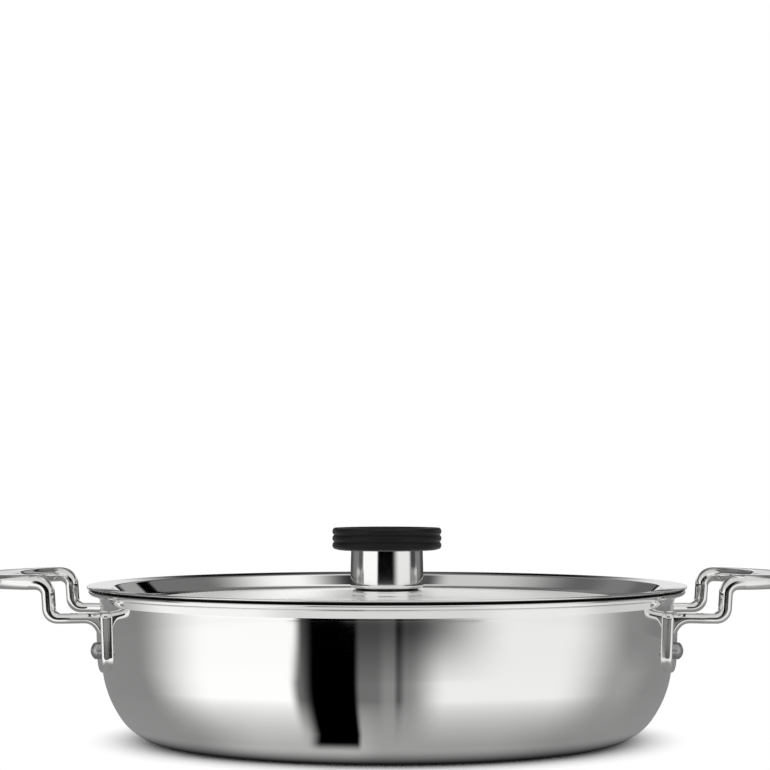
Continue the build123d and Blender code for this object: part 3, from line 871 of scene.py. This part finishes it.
def tang_shell(side):
    """Tang: rings of its outline, drawn in by the rounded edge, from the wall to the middle of its face."""
    origin, along, up, out = wall_frame(side)
    half = TANG_WIDTH / 2
    top = (ARM_TOP_Z + TANG_ABOVE_ARM - RIVET_Z) / math.sin(WALL_CLIMB)
    low = (ARM_TOP_Z - TANG_BELOW_ARM - RIVET_Z) / math.sin(WALL_CLIMB)
    shoulder, shoulder_top, foot = half - TANG_SHOULDER_R, top - TANG_SHOULDER_R, low + half

    def outline(inset):
        side_x, shoulder_r = half - inset, TANG_SHOULDER_R - inset
        return chain(
            arc((0, foot), side_x, math.pi, 2 * math.pi, TANG_END_STEPS),
            straight((side_x, foot), (side_x, shoulder_top), TANG_SIDE_STEPS),
            arc((shoulder, shoulder_top), shoulder_r, 0, math.pi / 2, FINE_ARC_STEPS),
            straight((shoulder, top - inset), (-shoulder, top - inset), TANG_TOP_STEPS),
            arc((-shoulder, shoulder_top), shoulder_r, math.pi / 2, math.pi, FINE_ARC_STEPS),
            straight((-side_x, shoulder_top), (-side_x, foot), TANG_SIDE_STEPS),
        )[:-1]

    edge = np.linspace(0, math.pi / 2, FINE_ARC_STEPS)
    edge_insets = TANG_EDGE_R * (1 - np.cos(edge))
    edge_heights = TANG_THICK - TANG_EDGE_R * (1 - np.sin(edge))
    insets = np.concatenate([[0, 0, 0], edge_insets])
    heights = np.concatenate([[-TANG_BITE, 0, TANG_THICK - 2 * TANG_EDGE_R], edge_heights])
    rings = []
    for inset, height in zip(insets, heights):
        line = outline(inset)
        rings.append(np.column_stack([line, np.full(len(line), height)]))
    face = rings[-1]
    middle = np.array([0, (top + low) / 2, TANG_THICK])
    for share in TANG_FACE_SHARES:
        rings.append(middle + (face - middle) * share)
    local = np.stack(rings)
    return capped_tube(origin + local[..., :1] * along + local[..., 1:2] * up + local[..., 2:] * out)


def make_handle(name, sign):
    """Handle: the loop and its two tangs, mirrored for the left side."""
    mirror = np.array([sign, 1, 1])
    shells = [capped_tube(loop_tube()), tang_shell(1), tang_shell(-1)]
    piece = shell_object(name, [(points * mirror, faces) for points, faces in shells])
    sharpen(piece, HANDLE_SHARP_DEGREES)
    return finish_piece(piece, "pan", "cast_steel", CAST_STEEL, name.replace("grip", "handle"))


# Rivets

def head_profile(radius, side_z, crown_z, foot_z):
    """Rivet head from its crown on the axis, over a low dome, down its side to its foot on the axis. The
    dome's sphere has the radius (r squared + rise squared) / (2 rise)."""
    rise = crown_z - side_z
    sphere_r = (radius ** 2 + rise ** 2) / (2 * abs(rise))
    sign = math.copysign(1, rise)
    angle = np.linspace(0, math.asin(radius / sphere_r), ARC_STEPS)
    dome = np.stack([sphere_r * np.sin(angle), crown_z - sign * sphere_r * (1 - np.cos(angle))], 1)
    side = straight(dome[-1], (radius, foot_z), HEAD_STEPS)
    return chain(dome, side, straight((radius, foot_z), (0, foot_z), HEAD_STEPS))


def make_rivet(name, sign_x, sign_y):
    """Rivet: outer and inner head, square to the wall; the shank between them is hidden."""
    origin, along, up, out = wall_frame(sign_y)
    outer_side, outer_crown = TANG_THICK + RIVET_SIDE, TANG_THICK + RIVET_HEIGHT
    inner_side, inner_crown = -PAN_SHEET - RIVET_INNER_SIDE, -PAN_SHEET - RIVET_INNER_HEIGHT
    outer = head_profile(RIVET_R, outer_side, outer_crown, TANG_THICK - RIVET_BITE)
    inner = head_profile(RIVET_INNER_R, inner_side, inner_crown, RIVET_BITE - PAN_SHEET)
    shells = []
    for profile in (outer, inner):
        local, faces = turned_shell(profile, RIVET_STEPS)
        points = origin + local[:, :1] * along + local[:, 1:2] * up + local[:, 2:] * out
        shells.append((points * np.array([sign_x, 1, 1]), faces))
    piece = shell_object(name, shells)
    sharpen(piece, RIVET_SHARP_DEGREES)
    return finish_piece(piece, "pan", "rivet_steel", RIVET_STEEL, name.replace("head", "rivet"))


# Stage: floor, background and what the polished steel sees of the studio

# Floor as the camera sees it: half its width, its depth below the pan, its colour and its fade to white.
FLOOR_HALF = 1.2
FLOOR_BELOW = 0.05 * MM
FLOOR_COLOUR = (0.95, 0.95, 0.95, 1)
SHADOW_FADE_R = (0.119, 0.152)

# Cards round the studio. Each list starts with a brightness and goes on with soft edges: the angle in degrees
# where the edge starts, the angle where it ends, and the brightness after it.

# On the floor the angle is that of the wall's normal where the wall mirrors the card. Four rows of cards lie
# one outside the other, and the radii of the change to each further row come after them.
# The nearest row is dimmed: painted shadow of the pan on the floor, as polished steel sees it.
FLOOR_NEAR = (0.28, [
    (-45, -24, 0.48),
    (-8, 0, 0.36),
    (20, 40, 0.28),
])
FLOOR_FAR = (0.26, [
    (-56, -34, 1.10),   # left soft box
    (-18.2, -15.8, 0.17),   # grey gap round the flag
    (-2, 0, 0.26),
    (1, 2, 0.10),       # seam between two sheets
    (2, 3.5, 0.26),
    (3.5, 11, 0.93),    # right soft box
    (32, 50, 0.36),
    (50, 66, 0.26),
])
FLOOR_FARTHEST = (0.26, [
    (-56, -34, 1.10),
    (-17.4, -15.2, 0.10),
    (-9, -4, 0.06),
    (-2, 0, 0.08),
    (1, 2, 0.01),
    (2, 3.5, 0.05),
    (4, 24, 0.93),
    (34, 54, 0.26),
])
FLOOR_END = (0.25, [
    (-56, -34, 1.05),
    (-19, -16, 0.02),
    (-9, -6, 0.30),
    (8, 10, 0.10),
    (15, 19, 0.90),
    (34, 54, 0.27),
    (54, 64, 0.22),
])
FAR_START_R = (0.134, 0.20)
FARTHEST_START_R = (0.33, 0.62)
END_START_R = (0.638, 0.652)

# The wall mirrors a card at this share of the angle that its mean radius gives.
WALL_MEAN_R = 143.0 * MM
MIRRORED_SHARE = 0.935

# Black flag between two edges, pale floor behind the pan, whose angle is in radians, and painted shadow
# round the pan's foot, dark in what polished steel sees of the floor.
FLAG_LEFT, FLAG_RIGHT = (-16.4, -13.2), (-6.0, -4.7)
FLAG_START_R = (0.128, 0.137)
BACK_ANGLE, BACK_LEVEL = (2.5, 2.9), 0.85
CONTACT_R, CONTACT_SHADOW_LEVEL = (0.116, 0.131), 0.01

# Strip below the lip, as the radius and height of its two edges, its span of azimuths and its cards.
LIP_CARD = ((143.8 * MM, 68.4 * MM), (175.0 * MM, 68.4 * MM))
LIP_CARD_SPAN = (-62, 62)
LIP_GLOW = (0.5, [
    (-62, -44, 1.02),
    (-26, -16, 0.76),
    (14, 24, 0.92),
    (36, 48, 0.68),
])

# By azimuth in front and at the sides, from straight behind on the left round to straight behind on the
# right. Above the front there is plain light, which starts over a range of the direction's height.
ROUND_STUDIO = (0.07, [
    (-150, -120, 0.20),
    (-104, -99, 0.09),
    (-86, -78, 1.05),
    (-33, -27, 0.0),
    (16, 40, 0.85),
    (72, 86, 0.05),
    (99, 106, 0.20),
    (125, 140, 0.06),
])
ABOVE_START, ABOVE_LEVEL = (0.14, 0.34), 0.72

# By elevation behind the pan, one list for what the left half of the lid mirrors and one for the right. The
# ranges of the direction's x, y and z are those over which the two sides meet, and the back and the part above
# the horizon start.
BEHIND_LEFT = (0.05, [
    (1.0, 2.0, 0.80),
    (5.5, 8.2, 0.0),
    (9.7, 10.1, 0.13),
    (11, 13, 0.35),
    (22.3, 23.8, 0.0),
    (28.4, 29.8, 0.17),
    (47, 68, 1.02),
    (70, 82, 0.03),
])
BEHIND_RIGHT = (0.05, [
    (1.0, 2.0, 0.80),
    (5.5, 8.2, 0.0),
    (9.7, 10.1, 0.13),
    (20, 28, 0.20),
    (32, 42, 0.13),
    (44, 68, 0.62),
    (76, 81, 0.08),
])
SIDES_MEET_X = (-0.02, 0.02)
BEHIND_Y = (0.01, 0.03)
HORIZON_Z = (0.015, 0.03)


def cards(nodes, links, degrees, studio):
    """Brightness of a row of studio cards at an angle in degrees."""
    level, edges = studio
    for start, end, after in edges:
        level = mix_colour(nodes, links, soft_step(nodes, links, degrees, (start, end)), level, after)
    return level


def azimuth(nodes, links, x, y):
    """Angle round the Z axis in radians, 0 at -Y and growing towards +X."""
    return math_node(nodes, links, "ARCTAN2", x, math_node(nodes, links, "MULTIPLY", y, -1.0))


def in_degrees(nodes, links, angle, share=1.0):
    """A share of an angle in radians, in degrees."""
    return math_node(nodes, links, "MULTIPLY", angle, math.degrees(share))


def stage_material(name):
    """Material without any node."""
    material = bpy.data.materials.new(name)
    material.use_nodes = True
    nodes, links = material.node_tree.nodes, material.node_tree.links
    nodes.clear()
    return material, nodes, links


def floor_panels(nodes, links, place, r):
    """What polished steel sees of the floor, with painted shadow of the pan round its foot. The normal's angle
    is azimuth / (2 - wall radius / r).
    """
    x, y, _ = separated(nodes, links, place)
    round_pan = azimuth(nodes, links, x, y)
    safe_r = math_node(nodes, links, "MAXIMUM", r, WALL_MEAN_R)
    ratio = math_node(nodes, links, "DIVIDE", WALL_MEAN_R, safe_r)
    spread = math_node(nodes, links, "SUBTRACT", 2.0, ratio)
    normal_angle = math_node(nodes, links, "DIVIDE", round_pan, spread)
    degrees = in_degrees(nodes, links, normal_angle, MIRRORED_SHARE)
    near, far, farthest, end_of_floor = (
        cards(nodes, links, degrees, row) for row in (FLOOR_NEAR, FLOOR_FAR, FLOOR_FARTHEST, FLOOR_END)
    )
    far = mix_colour(nodes, links, soft_step(nodes, links, r, FARTHEST_START_R), far, farthest)
    # The near row is painted shadow of the pan on the floor.
    panels = mix_colour(nodes, links, map_range(nodes, links, r, FAR_START_R), near, far)
    left_edge, right_edge = (soft_step(nodes, links, degrees, edge) for edge in (FLAG_LEFT, FLAG_RIGHT))
    flag = math_node(nodes, links, "SUBTRACT", left_edge, right_edge)
    flag = math_node(nodes, links, "MULTIPLY", flag, soft_step(nodes, links, r, FLAG_START_R))
    panels = mix_colour(nodes, links, flag, panels, 0.0)
    panels = mix_colour(nodes, links, soft_step(nodes, links, r, END_START_R), panels, end_of_floor)
    back = soft_step(nodes, links, math_node(nodes, links, "ABSOLUTE", round_pan), BACK_ANGLE)
    panels = mix_colour(nodes, links, back, panels, BACK_LEVEL)
    # Painted shadow: what polished steel sees of the floor goes dark round the pan's foot.
    return mix_colour(nodes, links, soft_step(nodes, links, r, CONTACT_R), CONTACT_SHADOW_LEVEL, panels)


def make_floor():
    """Pale floor. The camera sees it with the pan's soft shadow, which fades to white, and polished steel
    sees studio panels laid on it, with painted shadow round the pan's foot."""
    half, z = FLOOR_HALF, -FLOOR_BELOW
    points = np.array([[-half, -half, z], [half, -half, z], [half, half, z], [-half, half, z]])
    floor = new_object("floor", points, [[0, 1, 2, 3]])
    material, nodes, links = stage_material("floor")
    place = nodes.new("ShaderNodeTexCoord").outputs["Object"]
    r = length(nodes, links, place)
    mirrored = nodes.new("ShaderNodeEmission")
    links.new(floor_panels(nodes, links, place, r), mirrored.inputs["Color"])
    matt = nodes.new("ShaderNodeBsdfDiffuse")
    matt.inputs["Color"].default_value = FLOOR_COLOUR
    white = nodes.new("ShaderNodeEmission")
    faded = soft_step(nodes, links, r, SHADOW_FADE_R)
    fade = mix_shader(nodes, links, faded, matt.outputs[0], white.outputs[0])
    path = nodes.new("ShaderNodeLightPath").outputs
    by_camera = mix_shader(nodes, links, path["Is Camera Ray"], matt.outputs[0], fade)
    by_gloss = mix_shader(nodes, links, path["Is Glossy Ray"], by_camera, mirrored.outputs[0])
    out = nodes.new("ShaderNodeOutputMaterial")
    links.new(by_gloss, out.inputs["Surface"])
    floor.data.materials.append(material)


def make_card(name, edges, span, studio):
    """Studio card that polished steel alone sees: a strip (r sin a, -r cos a, z) between two edges, each a
    radius and a height, over a span of azimuths."""
    angle = np.radians(np.linspace(*span, CARD_STEPS + 1))
    rings = [np.stack([r * np.sin(angle), -r * np.cos(angle), np.full(len(angle), z)], 1) for r, z in edges]
    inner = np.arange(CARD_STEPS)
    outer = inner + len(angle)
    faces = np.stack([inner, inner + 1, outer + 1, outer], 1)
    card = new_object(name, np.concatenate(rings), faces.tolist())
    material, nodes, links = stage_material(name)
    place = nodes.new("ShaderNodeTexCoord").outputs["Object"]
    x, y, _ = separated(nodes, links, place)
    degrees = in_degrees(nodes, links, azimuth(nodes, links, x, y))
    glow = nodes.new("ShaderNodeEmission")
    links.new(cards(nodes, links, degrees, studio), glow.inputs["Color"])
    out = nodes.new("ShaderNodeOutputMaterial")
    links.new(glow.outputs[0], out.inputs["Surface"])
    card.data.materials.append(material)
    card.visible_camera = False
    card.visible_diffuse = False
    card.visible_shadow = False
    card.visible_transmission = False


def make_world():
    """White studio. Polished steel sees cards by azimuth in front and beside it, and by elevation behind."""
    world = bpy.data.worlds.new("studio")
    bpy.context.scene.world = world
    world.use_nodes = True
    nodes, links = world.node_tree.nodes, world.node_tree.links
    x, y, z = separated(nodes, links, nodes.new("ShaderNodeTexCoord").outputs["Generated"])
    around = cards(nodes, links, in_degrees(nodes, links, azimuth(nodes, links, x, y)), ROUND_STUDIO)
    around = mix_colour(nodes, links, soft_step(nodes, links, z, ABOVE_START), around, ABOVE_LEVEL)
    elevation = in_degrees(nodes, links, math_node(nodes, links, "ARCSINE", z))
    left = cards(nodes, links, elevation, BEHIND_LEFT)
    right = cards(nodes, links, elevation, BEHIND_RIGHT)
    behind = mix_colour(nodes, links, soft_step(nodes, links, x, SIDES_MEET_X), right, left)
    is_behind = soft_step(nodes, links, y, BEHIND_Y)
    is_above = soft_step(nodes, links, z, HORIZON_Z)
    is_wall = math_node(nodes, links, "MULTIPLY", is_behind, is_above)
    mirrored = mix_colour(nodes, links, is_wall, around, behind)
    is_glossy = nodes.new("ShaderNodeLightPath").outputs["Is Glossy Ray"]
    links.new(mix_colour(nodes, links, is_glossy, 1.0, mirrored), nodes["Background"].inputs["Color"])


# Camera of the photograph: in front of the pan and a little above its knob. Lengths are in metres, the lens
# and its frame in millimetres, and the pitch in degrees upwards.
CAMERA_DISTANCE = 1.244
CAMERA_HEIGHT = 0.1369
CAMERA_SIDE = -0.00097
CAMERA_PITCH = 1.8585
CAMERA_LENS = 115.28
CAMERA_FRAME = 36.0
CAMERA_CLIP = (0.01, 50.0)


def make_camera():
    """Camera on the -Y side, looking along +Y and slightly upwards."""
    camera = bpy.data.objects.new("camera", bpy.data.cameras.new("camera"))
    camera.location = (CAMERA_SIDE, -CAMERA_DISTANCE, CAMERA_HEIGHT)
    camera.rotation_euler = (math.radians(90 + CAMERA_PITCH), 0, 0)
    camera.data.lens = CAMERA_LENS
    camera.data.sensor_width = CAMERA_FRAME
    camera.data.clip_start, camera.data.clip_end = CAMERA_CLIP
    bpy.context.scene.collection.objects.link(camera)
    bpy.context.scene.camera = camera


make_pan()
make_lid()
make_stand_off()
make_post()
make_cap()
make_ring()
make_handle("left_grip", -1)
make_handle("right_grip", 1)
for side_name, sign_x in (("left", -1), ("right", 1)):
    for end_name, sign_y in (("front", -1), ("back", 1)):
        make_rivet(side_name + "_" + end_name + "_head", sign_x, sign_y)
for node in ("knob_insert", "knob_screw", "screw_washer"):
    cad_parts[node].data.materials.clear()
    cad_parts[node].data.materials.append(PLAIN_STEEL)
make_floor()
make_card("lip_card", LIP_CARD, LIP_CARD_SPAN, LIP_GLOW)
make_world()
make_camera()
bpy.context.scene.view_settings.view_transform = "Standard"
